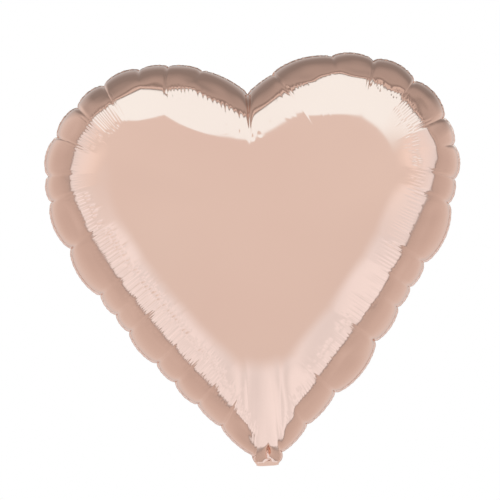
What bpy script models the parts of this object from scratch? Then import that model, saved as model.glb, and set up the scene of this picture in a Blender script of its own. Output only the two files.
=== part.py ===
"""Heart-shaped foil balloon, inflated, with its filling tail folded up behind it.

Two foil panels are heat-sealed together round their edge. The seal stops at the tip, where the
film runs on as a flat tail. A two-film valve lies inside the tail and the neck, and its lips stand
inside the balloon.

Metres. The origin is on the tail's fold line, at the heart's tip. +Z runs up through the notch,
-Y is the front and +X is the right-hand lobe.
"""

import math

import bmesh
import bpy
import numpy as np

# The inflated heart
BODY_WIDTH = 0.375
BODY_HEIGHT = 0.369  # from the fold line to the tops of the lobes
BODY_DEPTH = 0.166
NOTCH_DROP = 0.032  # from the tops of the lobes down to the notch
LOBE_TOP_X = 0.080  # where each lobe is highest, from the middle
WIDEST_Z = 0.266
SUMMIT_Z = 0.235  # where the panels stand furthest apart
CROWN_RADIUS = 0.150  # the panels' level curves turn from a heart at the rim to this circle inside

# How full the outline's curves are: Bezier handles, as shares of what each curve spans
NOTCH_HANDLE = (0.30, 0.62)  # of LOBE_TOP_X and NOTCH_DROP
LOBE_INNER_HANDLE = 0.40  # of LOBE_TOP_X
LOBE_OUTER_HANDLE = 0.58  # of the way from the lobe's top to the widest point, along X
SIDE_UPPER_HANDLE = 0.52  # of the same way, along Z
SIDE_LOWER_HANDLE = 0.15  # of WIDEST_Z
NECK_HANDLE = (0.765, 0.50)  # of half the width and WIDEST_Z

# The puffs between pleats
PUFF_RISE = 0.12  # a puff's height over its width, at the seal
USUAL_PUFF = 0.028  # its width, which sets how far the pleats' line lies inside the overall sizes
PUFF_FADE = 0.022  # how far in from the seal a puff has sunk to a third
CALM_SHARE = 0.25  # puffs nearer the notch than this share of the way to the neck rise less

# Films and seals
FOIL = 0.0003
VALVE_FILM = 0.0002
CLEARANCE = 0.0003  # between pieces that touch
SEAL_WIDTH = 0.004
SEAL_MARGIN = 0.0005  # the weld stops short of the flange's edges

# The tip, the tail and the valve
NECK_WIDTH = 0.027
NECK_Z = 0.0117  # where the heart's sides run into the neck
TIP_TAPER = 0.064  # how far up from the tip the panels are held together
TIP_START = 0.019
TAIL_LENGTH = 0.045
TAIL_ROOT = 0.001  # from the fold line to the tail
TAIL_CORNER = 0.004
TAIL_FOLD_DEG = 138.0  # from hanging straight down to lying against the back panel
VALVE_SIDE_GAP = 0.001  # from the valve's edges to the welds beside it
VALVE_MOUTH_RECESS = 0.006
LIP_TOP_Z = 0.080
LIP_CORNER = 0.003

# Where the pleats pinch the seal, as shares of the way from the notch to the neck
RIGHT_PLEATS = (0.15, 0.22, 0.295, 0.365, 0.42, 0.47, 0.515, 0.615, 0.66, 0.70, 0.765, 0.87, 0.94)
LEFT_PLEATS = (
    0.138, 0.185, 0.245, 0.30, 0.36, 0.425, 0.47, 0.55, 0.635, 0.68, 0.715, 0.78, 0.825, 0.875, 0.93,
)

# Mesh fineness
CURVE_POINTS = 60
PUFF_POINTS = 5
DOME_RINGS = (0.975, 0.90, 0.77, 0.58, 0.33)  # shares of the way from the summit to the seal
ARC_POINTS = 4

# Sizes that follow
FLANGE_GAP = 2 * VALVE_FILM + 3 * CLEARANCE
WELD = FLANGE_GAP - 2 * CLEARANCE
FLANGE_FACE = FLANGE_GAP / 2 + FOIL
FOLDED_GAP = math.radians(180 - TAIL_FOLD_DEG)  # the angle between the folded tail and the neck
# The folded tail's face clears the panels' lowest edge
NECK_EDGE_Z = FLANGE_FACE / math.tan(FOLDED_GAP / 2) + CLEARANCE / math.sin(FOLDED_GAP)
VALVE_WIDTH = NECK_WIDTH - 2 * (SEAL_WIDTH + VALVE_SIDE_GAP)
LIP_ROOT_Z = NECK_EDGE_Z + SEAL_WIDTH + CLEARANCE
SUMMIT = np.array([0.0, SUMMIT_Z])


def clear_scene():
    for obj in list(bpy.data.objects):
        bpy.data.objects.remove(obj)


def material(name, colour, metallic, roughness, alpha=1.0):
    made = bpy.data.materials.new(name)
    made.use_nodes = True
    shader = made.node_tree.nodes["Principled BSDF"]
    shader.inputs["Base Color"].default_value = (*colour, 1.0)
    shader.inputs["Metallic"].default_value = metallic
    shader.inputs["Roughness"].default_value = roughness
    shader.inputs["Alpha"].default_value = alpha
    return made


def add_object(name, points, faces, finish, parent=None):
    """A named object from points and faces, with its faces turned to point outwards."""
    mesh = bpy.data.meshes.new(name)
    mesh.from_pydata([tuple(p) for p in points], [], faces)
    shape = bmesh.new()
    shape.from_mesh(mesh)
    bmesh.ops.recalc_face_normals(shape, faces=shape.faces)
    shape.to_mesh(mesh)
    shape.free()
    mesh.materials.append(finish)
    obj = bpy.data.objects.new(name, mesh)
    bpy.context.scene.collection.objects.link(obj)
    obj.parent = parent
    return obj


def bezier(start, leave, arrive, end, count):
    """Points from start up to, but not at, end."""
    t = np.linspace(0, 1, count, endpoint=False)[:, None]
    terms = ((1 - t) ** 3, 3 * (1 - t) ** 2 * t, 3 * (1 - t) * t**2, t**3)
    return sum(term * np.array(point) for term, point in zip(terms, (start, leave, arrive, end)))


def half_heart():
    """The pleats' own line down one side, from the notch over the lobe to the neck, as (x, z)."""
    rise = PUFF_RISE * USUAL_PUFF
    half_width, top = BODY_WIDTH / 2 - rise, BODY_HEIGHT - rise
    notch = (0.0, BODY_HEIGHT - NOTCH_DROP)
    crest = (LOBE_TOP_X, top)
    widest = (half_width, WIDEST_Z)
    neck = (NECK_WIDTH / 2, NECK_Z)
    over = half_width - LOBE_TOP_X
    down = top - WIDEST_Z
    rising = (LOBE_TOP_X * NOTCH_HANDLE[0], notch[1] + NOTCH_DROP * NOTCH_HANDLE[1])
    cresting = (LOBE_TOP_X * (1 - LOBE_INNER_HANDLE), top)
    leaving = (LOBE_TOP_X + over * LOBE_OUTER_HANDLE, top)
    falling = (half_width, WIDEST_Z + down * SIDE_UPPER_HANDLE)
    side = (half_width, WIDEST_Z * (1 - SIDE_LOWER_HANDLE))
    narrowing = (half_width * NECK_HANDLE[0], WIDEST_Z * NECK_HANDLE[1])
    return np.vstack([
        bezier(notch, rising, cresting, crest, CURVE_POINTS),
        bezier(crest, leaving, falling, widest, CURVE_POINTS),
        bezier(widest, side, narrowing, neck, CURVE_POINTS),
        [neck],
    ])


def lengths_along(line):
    return np.concatenate([[0.0], np.cumsum(np.linalg.norm(np.diff(line, axis=0), axis=1))])


def puffed_side(pleats, rise):
    """One side of the heart from the notch to the neck, bowed outwards between its pleats."""
    line = half_heart()
    along = lengths_along(line)
    stops = np.concatenate([[0.0], pleats, [1.0]]) * along[-1]
    side = []
    for start, end in zip(stops, stops[1:]):
        share = np.arange(PUFF_POINTS) / PUFF_POINTS
        at = start + share * (end - start)
        point = np.column_stack([np.interp(at, along, line[:, k]) for k in (0, 1)])
        chord = point_at(line, along, end) - point_at(line, along, start)
        outward = np.array([-chord[1], chord[0]]) / np.linalg.norm(chord)
        calm = min(1.0, (start + end) / (2 * CALM_SHARE * along[-1]))
        bow = rise * calm * (end - start) * np.sqrt(np.sin(math.pi * share))
        side.append(point + bow[:, None] * outward)
    side.append(line[-1:])
    return np.vstack(side)


def point_at(line, along, distance):
    return np.array([np.interp(distance, along, line[:, k]) for k in (0, 1)])


def seal_line(rise=PUFF_RISE):
    """The seal's outer edge, clockwise from the notch as seen from the front, and its neck corners.

    The two numbers say which points are the right and the left corner of the neck's lower edge.
    """
    right = puffed_side(RIGHT_PLEATS, rise)
    left = puffed_side(LEFT_PLEATS, rise) * (-1, 1)
    corner = np.array([[NECK_WIDTH / 2, NECK_EDGE_Z]])
    line = np.vstack([right, corner, (0.0, NECK_EDGE_Z), corner * (-1, 1), left[:0:-1]])
    return line, len(right), len(right) + 2


def inset(line, distance):
    """A closed line moved inwards, mitred at its corners."""
    before = line - np.roll(line, 1, axis=0)
    after = np.roll(line, -1, axis=0) - line
    normals = []
    for step in (before, after):
        step = step / np.linalg.norm(step, axis=1)[:, None]
        normals.append(np.column_stack([step[:, 1], -step[:, 0]]))
    middle = normals[0] + normals[1]
    middle /= np.linalg.norm(middle, axis=1)[:, None]
    mitre = np.maximum(np.sum(middle * normals[0], axis=1), 0.6)
    return line + middle * (distance / mitre)[:, None]


def dome_ring(rim, plain_rim, share):
    """One level curve of a panel as (x, z, height above the flange), for a share of 1 at the rim."""
    depth_in = (1 - share) * np.linalg.norm(rim - SUMMIT, axis=1)
    puffs = np.exp(-depth_in / PUFF_FADE)[:, None]
    outline = plain_rim + (rim - plain_rim) * puffs - SUMMIT
    radius = np.linalg.norm(outline, axis=1)[:, None]
    rounding = (1 - share) ** 1.5
    outline = outline * (1 - rounding + rounding * CROWN_RADIUS / radius)
    place = SUMMIT + share * outline
    rise = (BODY_DEPTH / 2 - FLANGE_FACE) * math.sqrt(1 - share**3)
    above_tip = np.maximum(place[:, 1] - NECK_EDGE_Z - SEAL_WIDTH, 0)
    held = 1 - np.exp(-(above_tip + TIP_START) / TIP_TAPER)
    full = 1 - math.exp(-(SUMMIT_Z + TIP_START) / TIP_TAPER)
    return np.column_stack([place, rise * np.minimum(held / full, 1)])


def panel_skin(inside, flange):
    """Rings from the panel's edge up its dome: the flange's two edges and the level curves."""
    edge, plain_edge = seal_line()[0], seal_line(rise=0)[0]
    rim, plain_rim = (inset(line, SEAL_WIDTH + inside) for line in (edge, plain_edge))
    rings = [np.insert(line, 1, flange, axis=1) for line in (edge, rim)]
    for share in DOME_RINGS:
        x, z, rise = dome_ring(rim, plain_rim, share).T
        rings.append(np.column_stack([x, flange + rise, z]))
    return rings


def foil_panel(name, side, finish):
    """A sealed flange with an inflated dome inside it. side is -1 at the front and 1 at the back."""
    skins = (panel_skin(0, FLANGE_FACE), panel_skin(FOIL, FLANGE_GAP / 2))
    summits = [(0.0, BODY_DEPTH / 2, SUMMIT_Z), (0.0, BODY_DEPTH / 2 - FOIL, SUMMIT_Z)]
    count = len(skins[0][0])
    size = len(skins[0]) * count
    quads = [
        (row + k, row + (k + 1) % count, row + count + (k + 1) % count, row + count + k)
        for row in range(0, size - count, count)
        for k in range(count)
    ]
    faces = [tuple(skin * size + corner for corner in quad) for skin in (0, 1) for quad in quads]
    for skin in (0, 1):
        last = skin * size + size - count
        faces += [(last + k, last + (k + 1) % count, 2 * size + skin) for k in range(count)]
    faces += [(k, (k + 1) % count, size + (k + 1) % count, size + k) for k in range(count)]
    points = np.vstack([*skins[0], *skins[1], *summits]) * (1, side, 1)
    panel = add_object(name, points, faces, finish)
    panel.data.shade_smooth()
    return panel


def slab(name, outline, y_low, y_high, finish, parent=None):
    """A flat piece with the given (x, z) outline between two depths."""
    count = len(outline)
    points = [(x, y, z) for y in (y_low, y_high) for x, z in outline]
    faces = [tuple(range(count)), tuple(range(2 * count - 1, count - 1, -1))]
    faces += [(k, count + k, count + (k + 1) % count, (k + 1) % count) for k in range(count)]
    return add_object(name, points, faces, finish, parent)


def perimeter_seal(finish):
    """The weld between the flanges: a band round the heart, open across the neck."""
    edge, right_corner, left_corner = seal_line()
    outer, inner = inset(edge, SEAL_MARGIN), inset(edge, SEAL_WIDTH - SEAL_MARGIN)
    count = len(edge)
    run = [(left_corner + k) % count for k in range(count - (left_corner - right_corner) + 1)]
    sections = []
    for k in run:
        for line in (outer, inner):
            x, z = line[k]
            sections += [(x, -WELD / 2, z), (x, WELD / 2, z)]
    sides = ((0, 1), (1, 3), (3, 2), (2, 0))
    last = 4 * (len(run) - 1)
    faces = [(at + a, at + b, at + 4 + b, at + 4 + a) for at in range(0, last, 4) for a, b in sides]
    faces += [(0, 1, 3, 2), (last, last + 1, last + 3, last + 2)]
    return add_object("perimeter_heat_seal", sections, faces, finish)


def strip(half_width, near, far, corner):
    """A strip from near to far along Z, with its far corners rounded, as an (x, z) outline."""
    way = math.copysign(1, far - near)
    centre_x, centre_z = half_width - corner, far - way * corner
    turn = [math.pi / 2 * k / ARC_POINTS for k in range(ARC_POINTS + 1)]
    arc = [(centre_x + corner * math.cos(a), centre_z + way * corner * math.sin(a)) for a in turn]
    return [(half_width, near), *arc, *[(-x, z) for x, z in reversed(arc)], (-half_width, near)]


def tail(foil, weld, valve_film):
    """The tail, drawn hanging below the fold line and turned up behind the heart about that line."""
    fold = bpy.data.objects.new("tail_fold", None)
    bpy.context.scene.collection.objects.link(fold)
    fold.rotation_euler = (math.radians(TAIL_FOLD_DEG), 0, 0)
    root, end = -TAIL_ROOT, -(TAIL_ROOT + TAIL_LENGTH)
    film = strip(NECK_WIDTH / 2, root, end, TAIL_CORNER)
    slab("tail_front_film", film, -FLANGE_FACE, -FLANGE_GAP / 2, foil, fold)
    slab("tail_back_film", film, FLANGE_GAP / 2, FLANGE_FACE, foil, fold)
    for name, side in (("tail_left_seal", -1), ("tail_right_seal", 1)):
        outer = side * (NECK_WIDTH / 2 - SEAL_MARGIN)
        inner = side * (NECK_WIDTH / 2 - SEAL_WIDTH + SEAL_MARGIN)
        seal_end = end + TAIL_CORNER
        outline = [(outer, root), (outer, seal_end), (inner, seal_end), (inner, root)]
        slab(name, outline, -WELD / 2, WELD / 2, weld, fold)
    mouth = strip(VALVE_WIDTH / 2, root, end + VALVE_MOUTH_RECESS, LIP_CORNER)
    for name, side in (("valve_tail_front_film", -1), ("valve_tail_back_film", 1)):
        valve_slab(name, mouth, side, valve_film, fold)


def valve_slab(name, outline, side, finish, parent=None):
    """One of the valve's two films, half a clearance off the middle plane."""
    near, far = side * CLEARANCE / 2, side * (CLEARANCE / 2 + VALVE_FILM)
    return slab(name, outline, min(near, far), max(near, far), finish, parent)


def valve(finish):
    """The valve's films in the neck, and its two lips above their own hinge line."""
    neck = strip(VALVE_WIDTH / 2, LIP_ROOT_Z - CLEARANCE, NECK_EDGE_Z, CLEARANCE)
    for name, lip_name, side in (
        ("valve_neck_front_film", "valve_front_lip", -1),
        ("valve_neck_back_film", "valve_back_lip", 1),
    ):
        valve_slab(name, neck, side, finish)
        hinge = bpy.data.objects.new(lip_name + "_hinge", None)
        bpy.context.scene.collection.objects.link(hinge)
        hinge.location = (0, side * (CLEARANCE + VALVE_FILM) / 2, LIP_ROOT_Z)
        lip = strip(VALVE_WIDTH / 2, 0.0, LIP_TOP_Z - LIP_ROOT_Z, LIP_CORNER)
        slab(lip_name, lip, -VALVE_FILM / 2, VALVE_FILM / 2, finish, hinge)


def build():
    clear_scene()
    foil = material("rose_gold_foil", (0.80, 0.53, 0.43), 1.0, 0.14)
    weld = material("heat_seal", (0.72, 0.50, 0.42), 0.8, 0.35)
    valve_film = material("valve_film", (0.82, 0.86, 0.90), 0.0, 0.30, 0.45)
    foil_panel("front_foil_panel", -1, foil)
    foil_panel("back_foil_panel", 1, foil)
    perimeter_seal(weld)
    tail(foil, weld, valve_film)
    valve(valve_film)


build()
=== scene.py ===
"""The looks of the heart-shaped foil balloon: puckered mirror foil, crimped weld, tail and valve.

A panel is a rim of rings and columns, which run straight in from the weld, and a triangulated
centre inside it. Metres, in the CAD's frame: X to the right, Z up, the front towards -Y.
"""
import math

import bmesh
import bpy
import numpy as np
from mathutils import Matrix, Vector
from mathutils.geometry import delaunay_2d_cdt


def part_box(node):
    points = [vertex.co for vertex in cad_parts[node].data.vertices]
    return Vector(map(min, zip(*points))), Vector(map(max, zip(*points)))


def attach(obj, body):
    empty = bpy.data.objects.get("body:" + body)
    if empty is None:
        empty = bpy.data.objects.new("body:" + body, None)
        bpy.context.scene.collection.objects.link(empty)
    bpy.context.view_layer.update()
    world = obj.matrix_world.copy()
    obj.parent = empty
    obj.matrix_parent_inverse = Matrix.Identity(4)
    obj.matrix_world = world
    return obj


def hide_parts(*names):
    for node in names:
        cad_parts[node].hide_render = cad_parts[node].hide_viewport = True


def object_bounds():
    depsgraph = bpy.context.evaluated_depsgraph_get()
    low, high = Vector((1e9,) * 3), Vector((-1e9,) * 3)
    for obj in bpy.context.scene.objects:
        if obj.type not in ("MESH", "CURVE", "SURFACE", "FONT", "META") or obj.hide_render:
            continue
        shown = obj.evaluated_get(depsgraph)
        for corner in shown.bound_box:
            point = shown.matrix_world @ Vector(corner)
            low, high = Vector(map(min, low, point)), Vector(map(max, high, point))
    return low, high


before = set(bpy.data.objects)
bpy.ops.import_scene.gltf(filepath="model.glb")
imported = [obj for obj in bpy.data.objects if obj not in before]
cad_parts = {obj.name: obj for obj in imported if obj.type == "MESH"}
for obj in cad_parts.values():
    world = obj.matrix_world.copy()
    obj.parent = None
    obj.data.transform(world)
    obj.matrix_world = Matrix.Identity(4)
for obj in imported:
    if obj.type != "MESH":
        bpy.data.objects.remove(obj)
CAD_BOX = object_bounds()
PANEL_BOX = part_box("front_foil_panel")
MM = 0.001

# The inflated heart, as the CAD has it. Handles are shares of the way to the curve's other end
BODY_WIDTH = 0.375
BODY_HEIGHT = 0.369
BODY_DEPTH = CAD_BOX[1].y - CAD_BOX[0].y
NOTCH_DROP = 0.032
LOBE_TOP_X = 0.080
WIDEST_Z = 0.266
NOTCH_HANDLE = (0.30, 0.62)
LOBE_INNER_HANDLE = 0.40
LOBE_OUTER_HANDLE = 0.58
SIDE_UPPER_HANDLE = 0.52
SIDE_LOWER_HANDLE = 0.15
NECK_HANDLE = (0.765, 0.50)
NECK_WIDTH = 0.027
NECK_Z = 0.0117
NECK_EDGE_Z = PANEL_BOX[0].z
FLANGE_FACE = 0.00095  # the weld's faces, from the middle plane
FLANGE_WIDTH = 0.0015
PUFF_ROOT = 0.0034  # how far the pleats' line lies inside the overall sizes

# The blunt tip's corner: shares of the neck's width, with heights above the neck's edge
TIP_TURN = (0.44, 0.62)  # the second one is a share of NECK_Z
TIP_SWEEP = (0.40, 0.0003)
TIP_LOW = (0.22, 0.0002)
TIP_MIDDLE_RISE = 0.0012
TIP_POINTS = (24, 12)

# The left lobe's shoulder is drawn in: its direction from the summit, half its spread, its share
SHOULDER_TURN = -0.87
SHOULDER_SPREAD = 0.33
SHOULDER_DROP = 0.020

# The crown: a power of the share of the way from the summit to the outline
SUMMIT = np.array([0.0, 0.235])
CROWN_RADIUS = 0.150  # the level lines near the summit are circles of about this radius
CROWN_POWER = 3.0
# Where it is flatter (left lobe) or rounder (notch): direction from the summit, spread, change
CROWN_CHANGES = ((-0.95, 0.30, 3.2), (0.05, 0.50, -0.7))
CROWN_ROUNDING = 1.5
CROWN_HALVINGS = 30
TIP_TAPER = 0.040  # the panel rises to its full height over a few times this, from the tip
TIP_START = 0.018

# The columns' directions
MITRE_LEAST = 0.6
NORMAL_BLUR = 0.005
NOTCH_MITRE = 0.78  # the notch's corner moves in faster than its sides, by one over this at most
NOTCH_FAN = 0.30  # how close the columns beside the notch start, of their usual distance
TIP_REGION = 0.08  # how far below the summit the tip's columns begin
TIP_SPREAD = 0.82  # how much of the way to the middle plane the tip's columns may go
TIP_BLEND = 6
TIP_SOFTENING = 0.10  # radians
TIP_TURNS = (2.2, 2.7)  # directions from the summit between which the softening comes in
SOFTENED_SHARE = 0.16
POLAR_STEPS = 1440

# Each pleat: its share of the way from the notch to the neck, how far in its crease runs, and the
# depth of the fine ribs after it with how far in they start and end (all in millimetres)
RIGHT_PLEATS = (
    (0.000, 52, 0.16, 24, 44), (0.050, 50, 0.12, 18, 24), (0.152, 22, 0.00, 18, 24),
    (0.220, 54, 0.24, 18, 30), (0.294, 32, 0.22, 18, 46), (0.370, 42, 0.14, 30, 50),
    (0.417, 16, 0.20, 32, 44), (0.472, 32, 0.12, 30, 48), (0.513, 44, 0.10, 24, 46),
    (0.616, 46, 0.10, 20, 48), (0.662, 32, 0.10, 20, 48), (0.700, 20, 0.12, 20, 46),
    (0.766, 44, 0.22, 18, 44), (0.870, 40, 0.14, 18, 34), (0.940, 22, 0.08, 17, 26),
)
LEFT_PLEATS = (
    (0.000, 52, 0.22, 18, 44), (0.083, 16, 0.20, 18, 36), (0.138, 46, 0.02, 18, 24),
    (0.185, 18, 0.00, 18, 24), (0.248, 50, 0.16, 20, 56), (0.303, 32, 0.16, 20, 50),
    (0.361, 42, 0.08, 20, 30), (0.426, 34, 0.06, 24, 40), (0.469, 32, 0.18, 20, 44),
    (0.550, 40, 0.28, 18, 52), (0.639, 32, 0.28, 18, 54), (0.680, 32, 0.30, 18, 56),
    (0.715, 52, 0.30, 18, 56), (0.782, 32, 0.30, 18, 52), (0.825, 50, 0.28, 18, 50),
    (0.875, 32, 0.24, 18, 42), (0.928, 38, 0.18, 17, 34),
)
NECK_CREASE = 16
TIP_CREASE = 20
NO_RIBS = (0.0, 16, 20)
MAIN_CREASE = 30  # creases longer than this bend the panel deep inside the rim

# Facets between the pleats: none at the tip, and only between these depths
FACET_HEIGHTS = (0.030, 0.070)
FACET_START = (0.001, 0.016)
FACET_BROADENING = (0.016, 0.040)  # from every pleat's facets to the long creases' ones
FACET_END = 0.034

# Puffs between the pleats
PUFF_RISE = 0.15  # of the distance between two pleats
PUFF_ROUNDNESS = 0.5
PUFF_FADE = 1.4
CALM_SHARE = 0.25  # puffs nearer the notch than this share of the way to the neck rise less
CALM_NECK = 0.6  # how much the last puff before the neck rises
LAST_PUFF = 0.9  # that puff lies beyond this share of the way

# Creases at the pleats, and a shallower fold beside each long one
LONG_CREASE_DEPTH = 0.0011
SHORT_CREASE_DEPTH = 0.0008
CREASE_WIDTH = 0.0016
CREASE_VARIES = (0.8, 1.2)
CREASE_POWER = 1.5
CREASE_FADE = 0.3  # share of its length where a crease begins to fade
FOLD_AWAY = (0.0030, 0.0042)
FOLD_WIDTH = 0.0009
FOLD_DEPTH_SHARE = 0.35
FOLD_START = (0.008, 0.016)
FOLD_FADE = 0.6

# Ribs, in millimetres where they follow the pleats' tables, and the pits that they end in
RIB_PITCH = 0.0034
RIB_PITCH_VARIES = (0.9, 1.15)
RIB_WIDTHS = (0.75, 1.25)
RIB_SCALE = 1.3
RIB_DEPTHS = (0.35, 1.3)
RIB_STARTS = (-1.2, 2.2)
RIB_ENDS = (-9, 5)
RIB_RISE = 0.0030
RIB_FADE = 0.35
PIT_SHARE = 1.8  # a pit's depth over its rib's
PIT_LEAST = 0.00016
PIT_PLACE = 0.66
PIT_STRAY = 1.3
PIT_LENGTH = 0.0019
PIT_WIDTH = 0.22
CROWDED = (0.15, 0.50)  # the columns' distance over that at the weld: no folds, all folds

# Slow unevenness of the wall
SWELL_WAVES = (9, 14, 23, 37, 52)
SWELL_SIZE = 0.00032  # of the second of them
SWELL_FALL = 0.6
SWELL_DRIFT = 60
SWELL_START = (0.0, 0.008)
SWELL_END = (0.012, 0.022)

# The folded slit between the tip's two lobes
SLIT_HALF = 0.0024
SLIT_RISE = 0.017
SLIT_LEAN = 0.0030
SLIT_LEAST = 0.05
LEAN_FULL = 0.002
SLIT_FADE = 0.6

# The weld's crimp. A wave is its size and pitch, and how far and how fast the pitch sways
CRIMP_SECTION = (  # share of the weld's width, half its thickness
    (-0.25, 0.00095), (0.05, 0.00085), (0.35, 0.00030), (0.7, 0.00022), (1.0, 0.00016),
)
CRIMP_WAVES = ((0.0009, 0.0062, 1.4, 0.041), (0.0005, 0.0027, 2.0, 0.023))
CRIMP_JAGS = (0.08, 0.0053, 1.7, 0.019)
CRIMP_TOP = (0.29, 0.33)  # the heights between which the crimp grows stronger
CRIMP_CALM = 0.25
CRIMP_LEAN = (0.25, 0.9)  # back, in weld widths: everywhere, and added at the top
JAG_SHARE = 0.5

# The tail behind the heart, measured from its fold line
TAIL_FOLD_DEG = 138.0
TAIL_START = 0.0004
TAIL_FULL = 0.0030  # where the pinched tail has its full thickness
TAIL_END = 0.046
TAIL_CORNER = 0.004
TAIL_HALF_DEPTH = 0.00080
TAIL_FOIL = 0.00022
TAIL_PUFF = 0.0003
TAIL_PUFF_EDGES = (0.68, 0.80)
TAIL_PUFF_POWER = 0.7
TAIL_PUFF_SIDES = 0.6
TAIL_PUFF_TURN = 2.0
CRINKLES = 14
CRINKLE_TURN = 1.2
CRINKLE_WAVES = (120, 520)
CRINKLE_DEPTH = 0.00006
TAIL_WELD = 0.0040
WELD_PROUD = 0.00006
WELD_OVER = 0.0001
KNURL_DEPTH = 0.00006
KNURL_WAVES = 4200

# The room that the panels leave for the tail, folded over either one
TAIL_ROOM = 0.0017  # what the folded tail's thickness takes
TAIL_ROOM_FULL = 0.003
TAIL_SIDE_GAP = 0.0008
TAIL_SIDE_RISE = 0.9
ROOM_LEAST = 0.0001
ROOM_BLEND = 8
LOBE_TOP = 0.020  # above this the tip's two lobes ease into the crown
TIP_EASE = 0.09

# The pinched film between the panels and the fold line
PINCH_HALF = 0.00050
GATHER_HALF = 0.0098  # half the pinched film's width at the fold line
GATHER_END = 0.010
GATHER_CORNER = 0.0012
GATHER_CORNER_POWER = 5
ROLL_TOP_HALF = 0.0120
ROLL_RISE = 0.0012
ROLL_INSET = 0.0001
ROLL_SQUARENESS = 2.2
ROLL_WAVE = (0.00008, 31, 5)

# Mesh fineness
COLUMN_STEP = 0.0006
COLUMN_GROUP = 4
WALL_DEPTH = 0.0145
WALL_RINGS = 18
RIB_REACH = 0.050  # the rings are close together out to here
RING_STEP = 0.0012
INNER_RINGS = 8
FACING_RINGS = 5  # the innermost ones, which say which way is out
RIM_DEPTH = 0.062  # how far in the columns stay at right angles to the weld
CENTRE_STEP = 0.0032
CENTRE_CELLS = 60  # each way from the summit, more than needed
CENTRE_CELLS_DOWN = 70
CENTRE_INSET = (0.985, 0.0012)
CENTRE_MERGE = 1e-7
CURVE_POINTS = 120
TAIL_ROWS = 150
TAIL_COLUMNS = 90
WELD_COLUMNS = 14
ROLL_CELLS = 48

SEEDS = {"front_foil": 11, "back_foil": 23, "tail_front_foil": 31, "tail_back_foil": 37}

# Each film: name, darker and lighter colour, metallic, roughness, grain, bump's depth, alpha
FILMS = {
    "foil": ("rose_gold_foil", (0.835, 0.575, 0.475), (0.850, 0.595, 0.492), 1.0,
             (0.085, 0.115), 9, 0.000012, 1.0),
    "heat_seal": ("heat_seal", (0.74, 0.50, 0.41), (0.80, 0.56, 0.465), 1.0,
                  (0.20, 0.32), 30, 0.00008, 1.0),
    "valve_film": ("valve_film", (0.82, 0.86, 0.88), (0.88, 0.91, 0.92), 0.0,
                   (0.22, 0.34), 60, 0.00006, 0.22),
    "floor": ("pale_floor", (0.86, 0.855, 0.85), (0.90, 0.895, 0.89), 0.0,
              (0.55, 0.7), 6, 0.0002, 1.0),
}
FINE_GRAIN = 22  # times the slow grain
SLOW_NOISE = (2, 0.5)  # detail and roughness
FINE_NOISE = (3, 0.6)
COLOUR_STOPS = (0.3, 0.7)
GLOSS_STOPS = (0.3, 0.75)
BUMP_STRENGTH = 0.35

# The studio that the foil sees, overhead, at the sides and below, by the angle from the front:
# degrees, brightness and tint. A wide bright ring ends at 90 in a dark border, with walls behind
PLAIN, COOL = (1.0, 1.0, 1.0), (0.78, 0.99, 1.09)
PALE, WARM = (0.93, 1.03, 1.12), (1.0, 0.92, 0.88)
BLACK, WHITE = (0, 0, 0), (1, 1, 1)
STUDIO_TOP = (
    (0, 0.87, PLAIN), (46, 0.87, PLAIN), (48, 1.42, COOL), (90, 1.42, COOL), (91.0, 0.15, WARM),
    (92.5, 0.15, WARM), (93.5, 0.82, WARM), (97, 0.82, WARM), (98.5, 0.24, WARM),
    (104, 0.53, WARM), (114, 0.47, WARM), (126, 0.31, WARM), (140, 0.31, WARM),
    (154, 0.46, WARM), (180, 0.70, PLAIN),
)
STUDIO_LOW = (
    (0, 0.87, PLAIN), (45, 0.85, PLAIN), (54, 1.06, PALE), (87.6, 1.12, PALE),
    (88.4, 0.25, WARM), (89.2, 0.25, WARM), (90.2, 0.63, WARM), (112, 0.72, WARM),
    (140, 0.80, WARM), (165, 0.68, WARM), (180, 0.80, PLAIN),
)
STUDIO_SIDE = (
    (0, 0.87, PLAIN), (48, 0.88, PLAIN), (60, 0.97, PLAIN), (90, 1.00, PALE), (90.8, 0.30, WARM),
    (91.6, 0.30, WARM), (92.6, 0.60, WARM), (115, 0.70, WARM), (140, 0.80, WARM),
    (165, 0.64, WARM), (180, 0.80, PLAIN),
)
STUDIO_RING = (
    (0, 0.0, PLAIN), (46, 0.0, PLAIN), (58, 1.0, PLAIN), (90, 1.0, PLAIN), (91, 0.0, PLAIN),
)
TOP_TILT = 0.16
TOP_EDGES = (0.44, 0.72)  # how far up, and down, the sides blend into top and low
LOW_EDGES = (0.12, 0.42)
PANEL_WAVES = 15.0  # soft panels side by side in the lower part of the ring
PANEL_CONTRAST = 0.075
POLE_GUARD = 1.0001  # keeps the division finite straight ahead and straight behind

# The set
FLOOR_Z = -0.12
FLOOR_RADIUS = 0.46
FLOOR_RINGS = 40
FLOOR_SPOKES = 96
LAMPS = (("key", (-0.7, -0.9, 1.3), 0.8, 16), ("fill", (0.9, 0.8, 1.1), 0.9, 9))
LAMP_AIM = (0, 0, 0.15)
CAMERA_PLACE = (-0.0054, -1.255, 0.1952)
CAMERA_LEAN_DEG = 3.1
CAMERA_LENS = 100
CAMERA_SENSOR = 36


# ---------------- the outline

def bezier(start, leave, arrive, end, count):
    """Points from start up to, but not at, end."""
    t = np.linspace(0, 1, count, endpoint=False)[:, None]
    terms = ((1 - t) ** 3, 3 * (1 - t) ** 2 * t, 3 * (1 - t) * t**2, t**3)
    return sum(term * np.array(point) for term, point in zip(terms, (start, leave, arrive, end)))


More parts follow.
